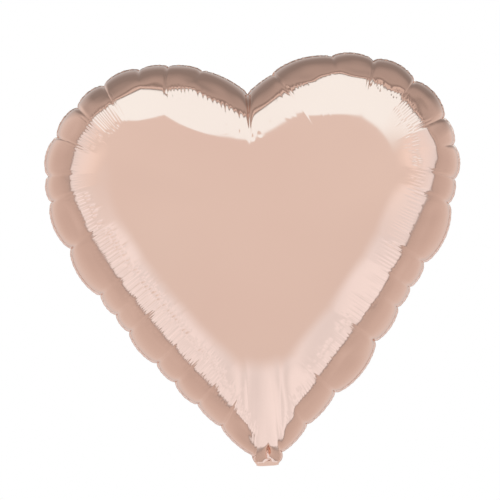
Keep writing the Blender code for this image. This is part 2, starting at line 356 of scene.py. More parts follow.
def half_heart():
    """The pleats' own line down one side, from the notch over the lobe to the neck, as (x, z)."""
    half_width, top = BODY_WIDTH / 2 - PUFF_ROOT, BODY_HEIGHT - PUFF_ROOT
    notch = (0.0, BODY_HEIGHT - NOTCH_DROP)
    crest = (LOBE_TOP_X, top)
    widest = (half_width, WIDEST_Z)
    neck = (NECK_WIDTH / 2, NECK_Z)
    over = half_width - LOBE_TOP_X
    down = top - WIDEST_Z
    rising = (LOBE_TOP_X * NOTCH_HANDLE[0], notch[1] + NOTCH_DROP * NOTCH_HANDLE[1])
    cresting = (LOBE_TOP_X * (1 - LOBE_INNER_HANDLE), top)
    leaving = (LOBE_TOP_X + over * LOBE_OUTER_HANDLE, top)
    falling = (half_width, WIDEST_Z + down * SIDE_UPPER_HANDLE)
    side = (half_width, WIDEST_Z * (1 - SIDE_LOWER_HANDLE))
    narrowing = (half_width * NECK_HANDLE[0], WIDEST_Z * NECK_HANDLE[1])
    return np.vstack([
        bezier(notch, rising, cresting, crest, CURVE_POINTS),
        bezier(crest, leaving, falling, widest, CURVE_POINTS),
        bezier(widest, side, narrowing, neck, CURVE_POINTS),
        [neck],
    ])


def tip_corner():
    """From the neck round the blunt tip's corner to the middle of its lower edge."""
    neck = (NECK_WIDTH / 2, NECK_Z)
    low = (NECK_WIDTH * TIP_LOW[0], NECK_EDGE_Z + TIP_LOW[1])
    turn = (NECK_WIDTH * TIP_TURN[0], NECK_Z * TIP_TURN[1])
    sweep = (NECK_WIDTH * TIP_SWEEP[0], NECK_EDGE_Z + TIP_SWEEP[1])
    middle = (0.0, NECK_EDGE_Z + TIP_MIDDLE_RISE)
    return np.vstack([
        bezier(neck, turn, sweep, low, TIP_POINTS[0])[1:],
        bezier(low, low, middle, middle, TIP_POINTS[1]),
        [middle],
    ])


def lengths_along(line):
    return np.concatenate([[0.0], np.cumsum(np.linalg.norm(np.diff(line, axis=0), axis=1))])


def inward_normals(line):
    """Unit normals of a closed clockwise line, pointing into it, and the mitres at its corners."""
    before = line - np.roll(line, 1, axis=0)
    after = np.roll(line, -1, axis=0) - line
    sides = []
    for step in (before, after):
        step = step / np.linalg.norm(step, axis=1)[:, None]
        sides.append(np.column_stack([step[:, 1], -step[:, 0]]))
    middle = sides[0] + sides[1]
    middle /= np.linalg.norm(middle, axis=1)[:, None]
    return middle, np.maximum(np.sum(middle * sides[0], axis=1), MITRE_LEAST)


def smoothed(values, sigma, step):
    """A closed row of values blurred along its length."""
    count = len(values)
    reach = np.minimum(np.arange(count), count - np.arange(count)) * step
    kernel = np.exp(-0.5 * (reach / sigma) ** 2)
    kernel = np.fft.fft(kernel / kernel.sum())[:, None]
    return np.real(np.fft.ifft(np.fft.fft(values, axis=0) * kernel, axis=0))


def smoothstep(low, high, value):
    t = np.clip((value - low) / (high - low), 0, 1)
    return t * t * (3 - 2 * t)


class Outline:
    """The closed line that the panels' roots follow, clockwise from the notch."""

    def __init__(self):
        right = half_heart()
        self.half = lengths_along(right)[-1]
        right = np.vstack([right, tip_corner()])
        left = (right * (-1, 1))[-2:0:-1]
        line = np.vstack([right, left])
        offset = line - SUMMIT
        turn = np.arctan2(offset[:, 0], offset[:, 1]) - SHOULDER_TURN
        sunk = np.exp(-((turn / SHOULDER_SPREAD) ** 2))
        line = SUMMIT + offset * (1 - SHOULDER_DROP * sunk)[:, None]
        normals, mitre = inward_normals(line)
        root = line + normals * (FLANGE_WIDTH / mitre)[:, None]
        self.along = lengths_along(np.vstack([line, line[:1]]))
        self.total = self.along[-1]
        self.root = np.vstack([root, root[:1]])
        self.fine = np.arange(0, self.total, COLUMN_STEP / 2)
        points = self.at(self.fine)
        normals, _ = inward_normals(points)
        normals = smoothed(normals, NORMAL_BLUR, COLUMN_STEP / 2)
        length = np.linalg.norm(normals, axis=1)
        near_notch = (points[:, 1] > WIDEST_Z) & (np.abs(points[:, 0]) < LOBE_TOP_X / 2)
        mitre = np.where(near_notch, np.maximum(length, NOTCH_MITRE), 1.0)
        self.normals = self.steer(points, normals / length[:, None]) / mitre[:, None]
        self.polar_table()

    def at(self, s):
        s = np.asarray(s) % self.total
        return np.column_stack([np.interp(s, self.along, self.root[:, k]) for k in (0, 1)])

    def steer(self, points, normals):
        """Turns the tip's columns up, so that those of its two sides don't cross."""
        reach = TIP_SPREAD * np.abs(points[:, 0]) / RIM_DEPTH
        low = points[:, 1] < SUMMIT[1] - TIP_REGION
        sideways = np.where(low, np.abs(normals[:, 0]), 0)
        over = (reach / np.maximum(sideways, 1e-9)) ** TIP_BLEND
        wanted = reach / (1 + over) ** (1 / TIP_BLEND)
        upright = np.sqrt(1 - np.minimum(wanted, 1) ** 2)
        turned = np.column_stack([-np.sign(points[:, 0]) * wanted, upright])
        return np.where(low[:, None], turned, normals)

    def normal(self, s):
        """The columns' direction at places along the outline."""
        s = np.asarray(s) % self.total
        return np.column_stack([
            np.interp(s, self.fine, self.normals[:, k], period=self.total) for k in (0, 1)
        ])

    def polar_table(self):
        """How far the outline lies from the summit in each direction."""
        offset = self.at(self.fine) - SUMMIT
        angle = np.arctan2(offset[:, 0], offset[:, 1])
        order = np.argsort(angle)
        self.angles, self.reaches = angle[order], np.linalg.norm(offset, axis=1)[order]
        self.even = np.linspace(-math.pi, math.pi, POLAR_STEPS, endpoint=False)
        reaches = np.interp(self.even, self.angles, self.reaches, period=2 * math.pi)
        soft = smoothed(reaches[:, None], TIP_SOFTENING, 2 * math.pi / POLAR_STEPS)[:, 0]
        self.softened = (soft - reaches) * smoothstep(*TIP_TURNS, np.abs(self.even))

    def reach(self, angle):
        """The outline's distance, and how much further its softened form lies."""
        return (np.interp(angle, self.angles, self.reaches, period=2 * math.pi),
                np.interp(angle, self.even, self.softened, period=2 * math.pi))


def height(outline, x, z):
    """How far a panel stands above its flange, without puffs and ribs."""
    dx, dz = x - SUMMIT[0], z - SUMMIT[1]
    radius, angle = np.hypot(dx, dz), np.arctan2(dx, dz)
    reach, softened = outline.reach(angle)
    low, high = np.zeros_like(radius), np.ones_like(radius)
    # the share of the way out, whose level lines go from circles at the summit to the outline
    for _ in range(CROWN_HALVINGS):
        share = (low + high) / 2
        rounding = (1 - share) ** CROWN_ROUNDING
        bent = reach + softened * smoothstep(0, SOFTENED_SHARE, 1 - share)
        level = share * (bent * (1 - rounding) + CROWN_RADIUS * rounding)
        low = np.where(level < radius, share, low)
        high = np.where(level < radius, high, share)
    share = (low + high) / 2
    power = CROWN_POWER
    for turn, spread, change in CROWN_CHANGES:
        power = power + change * np.exp(-(((angle - turn) / spread) ** 2))
    rise = (BODY_DEPTH / 2 - FLANGE_FACE) * np.sqrt(np.maximum(1 - share**power, 0))
    held = 1 - np.exp(-(np.maximum(z - NECK_EDGE_Z, 0) + TIP_START) / TIP_TAPER)
    full = 1 - math.exp(-(SUMMIT[1] + TIP_START) / TIP_TAPER)
    return rise * np.minimum(held / full, 1)


# ---------------- the columns

def pleat_list(outline):
    """Every pleat round the heart, as (place along the outline, crease length, ribs after it)."""
    pleats = [
        (share * outline.half, crease * MM, tuple(ribs)) for share, crease, *ribs in RIGHT_PLEATS
    ]
    pleats.append((outline.half, NECK_CREASE * MM, NO_RIBS))
    pleats.append((outline.total / 2, TIP_CREASE * MM, NO_RIBS))
    # Ribs belong to the stretch after a pleat, which on the left runs the other way
    left_ribs = [tuple(ribs) for _, _, *ribs in LEFT_PLEATS][::-1]
    pleats.append((outline.total - outline.half, NECK_CREASE * MM, left_ribs[0]))
    for (share, crease, *_), ribs in zip(LEFT_PLEATS[:0:-1], left_ribs[1:]):
        pleats.append((outline.total - share * outline.half, crease * MM, ribs))
    return pleats


class Columns:
    """The columns' places along the outline, with what each pleat says between them."""

    def __init__(self, outline):
        self.pleats = pleat_list(outline)
        self.total, self.half = outline.total, outline.half
        self.starts = np.array([place for place, _, _ in self.pleats])
        ends = np.append(self.starts[1:], outline.total)
        self.lengths = ends - self.starts
        s, segment, share = [], [], []
        for k, (start, end) in enumerate(zip(self.starts, ends)):
            beside_notch = k in (0, len(self.starts) - 1)
            step = COLUMN_STEP / (2 if beside_notch else 1)
            groups = max(1, round((end - start) / (step * COLUMN_GROUP)))
            part = np.arange(groups * COLUMN_GROUP) / (groups * COLUMN_GROUP)
            if beside_notch:  # the columns fan out there, so they start closer together
                part = part if k == 0 else 1 - part
                part = part * (NOTCH_FAN + (1 - NOTCH_FAN) * part)
                part = part if k == 0 else 1 - part
            s.append(start + part * (end - start))
            segment.append(np.full(len(part), k))
            share.append(part)
        self.s, self.segment, self.share = map(np.concatenate, (s, segment, share))
        self.count = len(self.s)

    def chords(self, least_crease):
        """For each column, the two pleats whose straight line it follows, and its share between."""
        places = self.starts[[k for k, pleat in enumerate(self.pleats) if pleat[1] >= least_crease]]
        after = np.searchsorted(places, self.s, side="right")
        first = places[(after - 1) % len(places)]
        last = np.append(places, self.total + places[0])[after]
        return first, last, (self.s - first) / (last - first)

    def away(self, place):
        """Each column's distance from a place along the outline."""
        return np.abs((self.s - place + self.total / 2) % self.total - self.total / 2)


def raised(outline, place):
    """Points of the smooth panel above places in the middle plane."""
    return np.column_stack([place[:, 0], height(outline, *place.T), place[:, 1]])


def chord_ring(outline, first, last, share, depth):
    """Points on the straight lines between pleats, at one depth."""
    a = raised(outline, outline.at(first) + outline.normal(first) * depth)
    b = raised(outline, outline.at(last) + outline.normal(last) * depth)
    return a + (b - a) * share[:, None]


def ring_depths():
    """How far in each ring lies: close together where the wall is steep and in the ribs."""
    wall = WALL_DEPTH * (np.arange(WALL_RINGS) / WALL_RINGS) ** 2
    ribbed = np.arange(WALL_DEPTH, RIB_REACH, RING_STEP)
    inner = np.linspace(RIB_REACH, RIM_DEPTH, INNER_RINGS)
    return np.concatenate([wall, ribbed, inner]), len(wall), len(wall) + len(ribbed)


def base_sheet(outline, columns):
    """The rim without puffs or ribs, as an array of rings by columns by (x, y, z)."""
    all_chords = columns.chords(0)
    main_chords = columns.chords(MAIN_CREASE * MM)
    root, normal = outline.at(columns.s), outline.normal(columns.s)
    flat_share = smoothstep(*FACET_HEIGHTS, root[:, 1])
    rings = []
    for depth in ring_depths()[0]:
        smooth = raised(outline, root + normal * depth)
        faceted = chord_ring(outline, *all_chords, depth)
        broad = chord_ring(outline, *main_chords, depth)
        inner = smoothstep(*FACET_BROADENING, depth)
        fade = smoothstep(*FACET_START, depth) * (1 - smoothstep(FACET_END, RIM_DEPTH, depth))
        all_share = (flat_share * fade * (1 - inner))[:, None]
        main_share = (flat_share * fade * inner)[:, None]
        plain_share = 1 - all_share - main_share
        rings.append(smooth * plain_share + faceted * all_share + broad * main_share)
    return np.array(rings)


def crowding(columns, sheet):
    """0 where the columns bunch up so far that folds along them would be slits, 1 elsewhere."""
    gaps = np.linalg.norm(np.roll(sheet, -1, axis=1) - np.roll(sheet, 1, axis=1), axis=2)
    steps = (np.roll(columns.s, -1) - np.roll(columns.s, 1)) % columns.total
    return np.minimum.accumulate(smoothstep(*CROWDED, gaps / steps[None, :]), axis=0)


def sheet_normals(sheet):
    """Unit normals of the rim, pointing out of the balloon (+Y here)."""
    around = np.roll(sheet, -1, axis=1) - np.roll(sheet, 1, axis=1)
    inwards = np.gradient(sheet, axis=0)
    normals = np.cross(around, inwards)
    normals /= np.maximum(np.linalg.norm(normals, axis=2), 1e-12)[:, :, None]
    return normals * np.sign(np.mean(normals[-FACING_RINGS:, :, 1]))


# ---------------- the folds

def puffs(columns, sheet):
    """How far the wall between two pleats bows out."""
    lengths = columns.lengths[columns.segment]
    middles = (columns.starts + columns.lengths / 2)[columns.segment]
    from_notch = np.minimum(middles, columns.total - middles) / columns.half
    calm = np.minimum(1.0, from_notch / CALM_SHARE)
    calm = np.where((from_notch > LAST_PUFF) & (from_notch < 1.0), CALM_NECK, calm)
    bow = PUFF_RISE * lengths * calm * np.sin(math.pi * columns.share) ** PUFF_ROUNDNESS
    wall_top = np.maximum(sheet[WALL_RINGS - 1, :, 1], 1e-6)
    wall = np.clip(sheet[:, :, 1] / wall_top[None, :], 0, 1)
    return bow[None, :] * (1 - wall) ** PUFF_FADE


def creases(columns, depths, random):
    """The grooves that run in from each pleat, and the folds beside the long ones."""
    total = np.zeros((len(depths), columns.count))
    for start, length, _ in columns.pleats:
        long = length > MAIN_CREASE * MM
        deep = (LONG_CREASE_DEPTH if long else SHORT_CREASE_DEPTH) * random.uniform(*CREASE_VARIES)
        width = CREASE_WIDTH * random.uniform(*CREASE_VARIES)
        fade = 1 - smoothstep(length * CREASE_FADE, length, depths)
        total -= deep * np.outer(fade, np.exp(-(columns.away(start) / width) ** CREASE_POWER))
        if long and start > 0:
            side = random.choice([-1, 1]) * random.uniform(*FOLD_AWAY)
            beside = np.exp(-(columns.away(start + side) / FOLD_WIDTH) ** 2)
            part = smoothstep(*FOLD_START, depths)
            part = part * (1 - smoothstep(length * FOLD_FADE, length, depths))
            total -= FOLD_DEPTH_SHARE * deep * np.outer(part, beside)
    return total


def ribs(columns, depths, random):
    """The fine folds at right angles to the weld, each with its own depth, start and end."""
    total = np.zeros((len(depths), columns.count))
    rings = depths[:, None]
    for k, (_, _, (deep, start, end)) in enumerate(columns.pleats):
        if deep == 0:
            continue
        mine = columns.segment == k
        pitch = RIB_PITCH * random.uniform(*RIB_PITCH_VARIES)
        count = max(2, round(columns.lengths[k] / pitch))
        widths = random.uniform(*RIB_WIDTHS, count)
        edges = np.concatenate([[0], np.cumsum(widths)]) / widths.sum()
        share = columns.share[mine]
        which = np.clip(np.searchsorted(edges, share, side="right") - 1, 0, count - 1)
        within = (share - edges[which]) / (edges[which + 1] - edges[which])
        depth = (RIB_SCALE * deep * MM * random.uniform(*RIB_DEPTHS, count))[which]
        first = (start + random.uniform(*RIB_STARTS, count)) * MM
        final = (end + random.uniform(*RIB_ENDS, count)) * MM
        fading = (first + (final - first) * RIB_FADE)[which][None, :]
        first, final = first[which][None, :], final[which][None, :]
        rise = smoothstep(first, first + RIB_RISE, rings)
        fall = 1 - smoothstep(fading, final, rings)
        total[:, mine] += depth * np.sin(math.pi * within) ** 2 * rise * fall
        # where a deep rib ends, the film tucks into a short pit
        stray = random.uniform(-PIT_STRAY, PIT_STRAY, count)
        row = (start + (end - start) * PIT_PLACE + stray) * MM
        pit = np.exp(-(((rings - row[which][None, :]) / PIT_LENGTH) ** 2))
        valley = np.exp(-(((within - 0.5) / PIT_WIDTH) ** 2))
        total[:, mine] -= PIT_SHARE * depth * pit * valley * (depth > PIT_LEAST)
    return total


def swells(columns, depths, random):
    """Slow unevenness of the wall and the band inside it."""
    around = 2 * math.pi * columns.s / columns.total
    total = np.zeros((len(depths), columns.count))
    for waves in SWELL_WAVES:
        phase = random.uniform(0, 2 * math.pi)
        drift = random.uniform(-SWELL_DRIFT, SWELL_DRIFT)
        size = SWELL_SIZE * (SWELL_WAVES[1] / waves) ** SWELL_FALL
        total += size * np.sin(waves * around[None, :] + phase + drift * depths[:, None])
    fade = smoothstep(*SWELL_START, depths) * (1 - smoothstep(*SWELL_END, depths))
    return total * fade[:, None]


def slit(columns, depths):
    """How far the middle of the tip is folded in to the middle plane: 0 for not, 1 for fully."""
    away = np.abs(columns.s - columns.total / 2)
    share = depths / SLIT_RISE
    width = SLIT_HALF * np.clip(1 - share, SLIT_LEAST, 1)[:, None]
    return np.exp(-away[None, :] / width) * (1 - smoothstep(SLIT_FADE, 1.0, share))[:, None]


def under_tail(x, rise, z):
    """Keeps a panel clear of the tail, which may lie folded over either one."""
    lean = math.tan(math.pi - math.radians(TAIL_FOLD_DEG))
    room = lean * z - TAIL_ROOM * smoothstep(0.0, TAIL_ROOM_FULL, z) - FLANGE_FACE
    room = room - TIP_EASE * np.maximum(z - LOBE_TOP, 0)
    beside = np.maximum(np.abs(x) - NECK_WIDTH / 2 - TAIL_SIDE_GAP, 0)
    room = np.maximum(room, ROOM_LEAST) + TAIL_SIDE_RISE * beside
    both = np.maximum(rise**ROOM_BLEND + room**ROOM_BLEND, 1e-30)
    return rise * room / both ** (1 / ROOM_BLEND)


def rim_points(outline, columns, seed):
    """A panel's rim, with y as its distance from the middle plane."""
    random = np.random.default_rng(seed)
    depths, _, _ = ring_depths()
    sheet = base_sheet(outline, columns)
    push = creases(columns, depths, random) + ribs(columns, depths, random)
    push = push * crowding(columns, sheet)
    push += puffs(columns, sheet)
    push += swells(columns, depths, random)
    normals = sheet_normals(sheet)
    normals[0, :, 1] = 0
    normals[0] /= np.linalg.norm(normals[0], axis=1)[:, None]
    sheet = sheet + normals * push[:, :, None]
    rise = under_tail(sheet[:, :, 0], np.maximum(sheet[:, :, 1], 0), sheet[:, :, 2])
    folded = slit(columns, depths)
    sheet[:, :, 1] = rise * (1 - folded) + FLANGE_FACE
    sheet[:, :, 0] -= SLIT_LEAN * folded**2 * smoothstep(0, LEAN_FULL, depths)[:, None]
    return sheet


def centre(outline, edge):
    """The panel inside its rim: the points to add to the edge's, and the faces over both."""
    offset = edge[:, (0, 2)] - SUMMIT
    angle = np.arctan2(offset[:, 0], offset[:, 1])
    order = np.argsort(angle)
    far = np.linalg.norm(offset, axis=1)
    row = CENTRE_STEP * math.sqrt(0.75)  # of equilateral triangles
    x, z = np.meshgrid(
        np.arange(-CENTRE_CELLS, CENTRE_CELLS + 1) * CENTRE_STEP,
        np.arange(-CENTRE_CELLS_DOWN, CENTRE_CELLS) * row,
    )
    x = x + (np.arange(len(x)) % 2)[:, None] * CENTRE_STEP / 2
    x, z = x.ravel(), z.ravel()
    reach = np.interp(np.arctan2(x, z), angle[order], far[order], period=2 * math.pi)
    kept = np.hypot(x, z) < reach * CENTRE_INSET[0] - CENTRE_INSET[1]
    inner = np.column_stack([x, z])[kept] + SUMMIT
    flat = [Vector(p) for p in np.vstack([edge[:, (0, 2)], inner]).tolist()]
    border, only_inside = list(range(len(edge))), 1
    out, _, faces, origins, _, _ = delaunay_2d_cdt(flat, [], [border], only_inside, CENTRE_MERGE)
    added, index = [], []
    for place, origin in zip(out, origins):
        if origin and origin[0] < len(edge):
            index.append(origin[0])
        else:
            index.append(len(edge) + len(added))
            added.append(place)
    added = raised(outline, np.array([tuple(p) for p in added]))
    added[:, 1] = under_tail(*added.T) + FLANGE_FACE
    return added, [tuple(index[i] for i in face) for face in faces]


# ---------------- meshes

def quads(rows, count, rows_close, columns_close):
    """Faces between neighbouring points of a grid, which may close on itself."""
    faces = []
    for row in range(rows if rows_close else rows - 1):
        this, other = row * count, (row + 1) % rows * count
        for k in range(count if columns_close else count - 1):
            after = (k + 1) % count
            faces.append((this + k, this + after, other + after, other + k))
    return faces


def turned_over(face, offset):
    """The same face over other points, seen from its other side."""
    return tuple(offset + i for i in (face[0], *face[:0:-1]))


def panel_faces(rings, count, steps):
    """Faces between rings of points, of which each ring uses every steps[ring]-th one."""
    faces = []
    for row in range(rings - 1):
        here, there = steps[row], steps[row + 1]
        fine, coarse = min(here, there), max(here, there)
        low, high = row * count, (row + 1) * count
        for k in range(0, count, coarse):
            middle, after = k + fine, (k + coarse) % count
            if here == there:
                faces.append((low + k, low + after, high + after, high + k))
            elif here < there:  # two columns become one
                faces.append((low + k, low + middle, high + k))
                faces.append((low + middle, high + after, high + k))
                faces.append((low + middle, low + after, high + after))
            else:  # one column becomes two
                faces.append((low + k, high + middle, high + k))
                faces.append((low + k, low + after, high + middle))
                faces.append((low + after, high + after, high + middle))
    return faces


def new_object(name, points, faces, finish):
    """A smooth-shaded object that keeps only the points its faces use."""
    used = np.unique(np.concatenate([np.asarray(f) for f in faces]))
    index = np.full(len(points), -1)
    index[used] = np.arange(len(used))
    faces = [tuple(index[list(f)].tolist()) for f in faces]
    mesh = bpy.data.meshes.new(name)
    mesh.from_pydata(np.asarray(points)[used].tolist(), [], faces)
    mesh.shade_smooth()
    mesh.materials.append(finish)
    obj = bpy.data.objects.new(name, mesh)
    bpy.context.scene.collection.objects.link(obj)
    return obj


def even_normals(obj):
    """Turns every face of a piece the same way, outwards."""
    shape = bmesh.new()
    shape.from_mesh(obj.data)
    bmesh.ops.recalc_face_normals(shape, faces=shape.faces)
    shape.to_mesh(obj.data)
    shape.free()
    obj.data.shade_smooth()
    return obj


def foil_panel(name, outline, columns, side, finish):
    """One panel, and the points at its root. side is -1 at the front and 1 at the back."""
    sheet = rim_points(outline, columns, SEEDS[name])
    _, wall_end, ribbed_end = ring_depths()
    rings, count = sheet.shape[:2]
    # every second column is enough outside the ribs
    steps = [2] * wall_end + [1] * (ribbed_end - wall_end) + [2] * (rings - ribbed_end)
    faces = panel_faces(rings, count, steps)
    edge = np.arange(0, count, steps[-1])
    added, centre_faces = centre(outline, sheet[-1, edge])
    place = np.concatenate([(rings - 1) * count + edge, rings * count + np.arange(len(added))])
    faces += [tuple(place[list(face)].tolist()) for face in centre_faces]
    points = np.vstack([sheet.reshape(-1, 3), added]) * (1, side, 1)
    return even_normals(new_object(name, points, faces, finish)), sheet[0]


def swaying(around, size, pitch, sway, sway_pitch):
    """A wave whose pitch drifts."""
    return size * np.sin(around / pitch + sway * np.sin(around / sway_pitch))


def seam(columns, root, finish):
    """The crimped weld round the heart, a thin wavy band outside the two panels' roots."""
    count, around = columns.count, 2 * math.pi * columns.s
    tangent = np.roll(root, -1, axis=0) - np.roll(root, 1, axis=0)
    tangent = tangent[:, (0, 2)] / np.linalg.norm(tangent[:, (0, 2)], axis=1)[:, None]
    outward = np.column_stack([-tangent[:, 1], tangent[:, 0]])
    on_top = smoothstep(*CRIMP_TOP, root[:, 2])
    wave = sum(swaying(around, *wave) for wave in CRIMP_WAVES)
    wave *= CRIMP_CALM + (1 - CRIMP_CALM) * on_top
    lean = (CRIMP_LEAN[0] + CRIMP_LEAN[1] * on_top) * FLANGE_WIDTH
    jag = 1 + swaying(around, *CRIMP_JAGS)
    near, far = [], []
    for share, half in CRIMP_SECTION:
        width = FLANGE_WIDTH * share * (jag if share > JAG_SHARE else np.ones(count))
        place = root[:, (0, 2)] + outward * width[:, None]
        lift = (wave + lean) * max(share, 0)
        near.append(np.column_stack([place[:, 0], lift - half, place[:, 1]]))
        far.append(np.column_stack([place[:, 0], lift + half, place[:, 1]]))
    rows = near + far[::-1]
    faces = quads(len(rows), count, True, True)
    return new_object("seam_crimp", np.vstack(rows), faces, finish)


def grid_tube(name, front, back, finish):
    """A closed thin piece from a front and a back grid of points of the same shape."""
    rows, cells = front.shape[:2]
    size = rows * cells
    faces = []
    for face in quads(rows, cells, False, False):
        faces += [face, turned_over(face, size)]
    rim = list(range(cells))
    rim += [r * cells + cells - 1 for r in range(1, rows)]
    rim += [(rows - 1) * cells + c for c in range(cells - 2, -1, -1)]
    rim += [r * cells for r in range(rows - 2, 0, -1)]
    for a, b in zip(rim, rim[1:] + rim[:1]):
        faces.append((a, size + a, size + b, b))
    points = np.vstack([front.reshape(-1, 3), back.reshape(-1, 3)])
    return even_normals(new_object(name, points, faces, finish))


def tail_half(reach):
    """Half the tail's width at a distance below the fold line."""
    rounded = np.clip((reach - (TAIL_END - TAIL_CORNER)) / TAIL_CORNER, 0, 1)
    half = NECK_WIDTH / 2 - TAIL_CORNER * (1 - np.sqrt(1 - rounded**2))
    return half - (NECK_WIDTH / 2 - GATHER_HALF) * (1 - smoothstep(TAIL_START, GATHER_END, reach))


def tail_lift(reach):
    """Half the tail's thickness at a distance below the fold line."""
    return PINCH_HALF + (TAIL_HALF_DEPTH - PINCH_HALF) * smoothstep(TAIL_START, TAIL_FULL, reach)


def tail_piece(name, x, depths, reach, finish):
    """A piece between two depths, drawn hanging down and turned up behind the heart."""
    skins = [np.dstack([x, depth, -reach + 0 * x]) for depth in depths]
    piece = grid_tube(name, *skins, finish)
    piece.data.transform(Matrix.Rotation(math.radians(TAIL_FOLD_DEG), 4, "X"))
    return piece


def tail_film(name, side, finish):
    """One of the tail's two films: pinched flat at the fold line, and open at its end."""
    random = np.random.default_rng(SEEDS[name])
    along = np.linspace(0, 1, TAIL_ROWS)[:, None]
    across = np.linspace(-1, 1, TAIL_COLUMNS)[None, :]
    reach = TAIL_START + along * (TAIL_END - TAIL_START)
    x = across * tail_half(reach)
    inside = 1 - smoothstep(*TAIL_PUFF_EDGES, np.abs(across))
    belly = np.clip((reach - TAIL_START) / (TAIL_END - TAIL_START), 0, 1)
    belly = np.sin(math.pi * belly) ** TAIL_PUFF_POWER
    crown = TAIL_PUFF_SIDES + (1 - TAIL_PUFF_SIDES) * np.cos(across * TAIL_PUFF_TURN)
    puff = TAIL_PUFF * inside * belly * crown
    crinkle = np.zeros_like(x)
    for _ in range(CRINKLES):
        turn = random.uniform(-CRINKLE_TURN, CRINKLE_TURN)
        waves = random.uniform(*CRINKLE_WAVES)
        phase = random.uniform(0, 2 * math.pi)
        lengthwise = reach * math.cos(turn) + x * math.sin(turn)
        crinkle = crinkle + np.sin(waves * lengthwise + phase) ** 3
    opening = smoothstep(TAIL_START, TAIL_FULL, reach)
    crinkle = CRINKLE_DEPTH * np.abs(crinkle) * opening * inside
    outer = tail_lift(reach) + puff + crinkle
    return tail_piece(name, x, (side * outer, side * (outer - TAIL_FOIL)), reach, finish)


def tail_weld(name, side, finish):
    """The knurled weld down one edge of the tail, round the edges of both films."""
    reach = np.linspace(TAIL_START, TAIL_END, TAIL_ROWS)[:, None]
    across = np.linspace(0, 1, WELD_COLUMNS)[None, :]
    half = tail_half(reach) + WELD_OVER
    x = side * (half - TAIL_WELD * (1 - across))
    knurl = KNURL_DEPTH * np.abs(np.sin(reach * KNURL_WAVES) * np.sin(x * KNURL_WAVES))
    depth = tail_lift(reach) + WELD_PROUD + knurl
    return tail_piece(name, x, (depth, -depth), reach, finish)


def fold_roll(finish):
    """The pinched film from the panels' lower edges to the fold line, ending in a small roll."""
    across = np.linspace(-1, 1, TAIL_COLUMNS)
    wave_size, wave_count, wave_drift = ROLL_WAVE
    rows = []
    for turn in np.linspace(0, 1, ROLL_CELLS, endpoint=False):
        # once round: down the front, round the fold line and up the back
        angle = 2 * math.pi * turn
        low = -PINCH_HALF * math.cos(angle)
        y = -PINCH_HALF * math.sin(angle)
        up = smoothstep(0, 1, (1 - math.cos(angle)) / 2)
        z = low * (1 - up) + up * (NECK_EDGE_Z + ROLL_RISE)
        square = min(1, abs(math.sin(angle)) * ROLL_SQUARENESS)
        y = y * (1 - up) + np.sign(y) * up * square * (FLANGE_FACE - ROLL_INSET)
        wave = wave_size * np.sin(across * wave_count + wave_drift * turn) * (1 - up)
        # gathered at the fold line and as wide as the panels' lower edges above it
        x = across * (GATHER_HALF + (ROLL_TOP_HALF - GATHER_HALF) * up)
        corner = 1 - np.sqrt(1 - np.abs(across) ** GATHER_CORNER_POWER)
        corner = (1 - up) * GATHER_CORNER * corner
        rows.append(np.column_stack([x, y + wave, z + corner]))
    count = len(across)
    faces = quads(ROLL_CELLS, count, True, False)
    faces.append(tuple(r * count for r in range(ROLL_CELLS)))
    faces.append(tuple(r * count + count - 1 for r in reversed(range(ROLL_CELLS))))
    return even_normals(new_object("neck_fold", np.vstack(rows), faces, finish))


# ---------------- materials

class Nodes:
    """A node tree with short ways to add to it."""

    def __init__(self, tree):
        self.tree = tree

    def add(self, kind, inputs=None, **settings):
        """A node with its settings, and with values or links for its inputs."""
        node = self.tree.nodes.new(kind)
        for key, value in settings.items():
            setattr(node, key, value)
        for key, value in (inputs or {}).items():
            if isinstance(value, (int, float)):
                node.inputs[key].default_value = value
            else:
                self.link(value, node.inputs[key])
        return node

    def link(self, source, target):
        self.tree.links.new(source, target)

    def math(self, operation, *inputs):
        return self.add("ShaderNodeMath", dict(enumerate(inputs)), operation=operation).outputs[0]

    def mix(self, factor, a, b):
        """A blend of two colours, which are the mix node's sockets 6 and 7."""
        node = self.add("ShaderNodeMix", {0: factor, 6: a, 7: b}, data_type="RGBA")
        return node.outputs[2]

    def ramp(self, factor, *stops):
        """A colour ramp of (position, colour) stops."""
        node = self.add("ShaderNodeValToRGB", {0: factor})
        elements = node.color_ramp.elements
        while len(elements) > 1:
            elements.remove(elements[-1])
        elements[0].position = stops[0][0]
        elements[0].color = (*stops[0][1], 1)
        for position, colour in stops[1:]:
            elements.new(position).color = (*colour, 1)
        return node.outputs[0]

    def noise(self, scale, detail, roughness, vector):
        inputs = {"Scale": scale, "Detail": detail, "Roughness": roughness, "Vector": vector}
        return self.add("ShaderNodeTexNoise", inputs).outputs["Fac"]

    def bump(self, level, strength, distance):
        inputs = {"Height": level, "Strength": strength, "Distance": distance}
        return self.add("ShaderNodeBump", inputs).outputs["Normal"]


def film_material(name, dark, light, metallic, roughness, grain, bump_distance, alpha):
    """A film whose colour and gloss drift a little over its surface."""
    made = bpy.data.materials.new(name)
    made.use_nodes = True
    nodes = Nodes(made.node_tree)
    shader = made.node_tree.nodes["Principled BSDF"].inputs
    place = nodes.add("ShaderNodeTexCoord").outputs["Object"]
    slow = nodes.noise(grain, *SLOW_NOISE, place)
    fine = nodes.noise(grain * FINE_GRAIN, *FINE_NOISE, place)
    greys = [(value,) * 3 for value in roughness]
    nodes.link(nodes.ramp(slow, *zip(COLOUR_STOPS, (dark, light))), shader["Base Color"])
    nodes.link(nodes.ramp(fine, *zip(GLOSS_STOPS, greys)), shader["Roughness"])
    nodes.link(nodes.bump(fine, BUMP_STRENGTH, bump_distance), shader["Normal"])
    shader["Metallic"].default_value = metallic
    shader["Alpha"].default_value = alpha
    return made


# ---------------- light, floor and camera

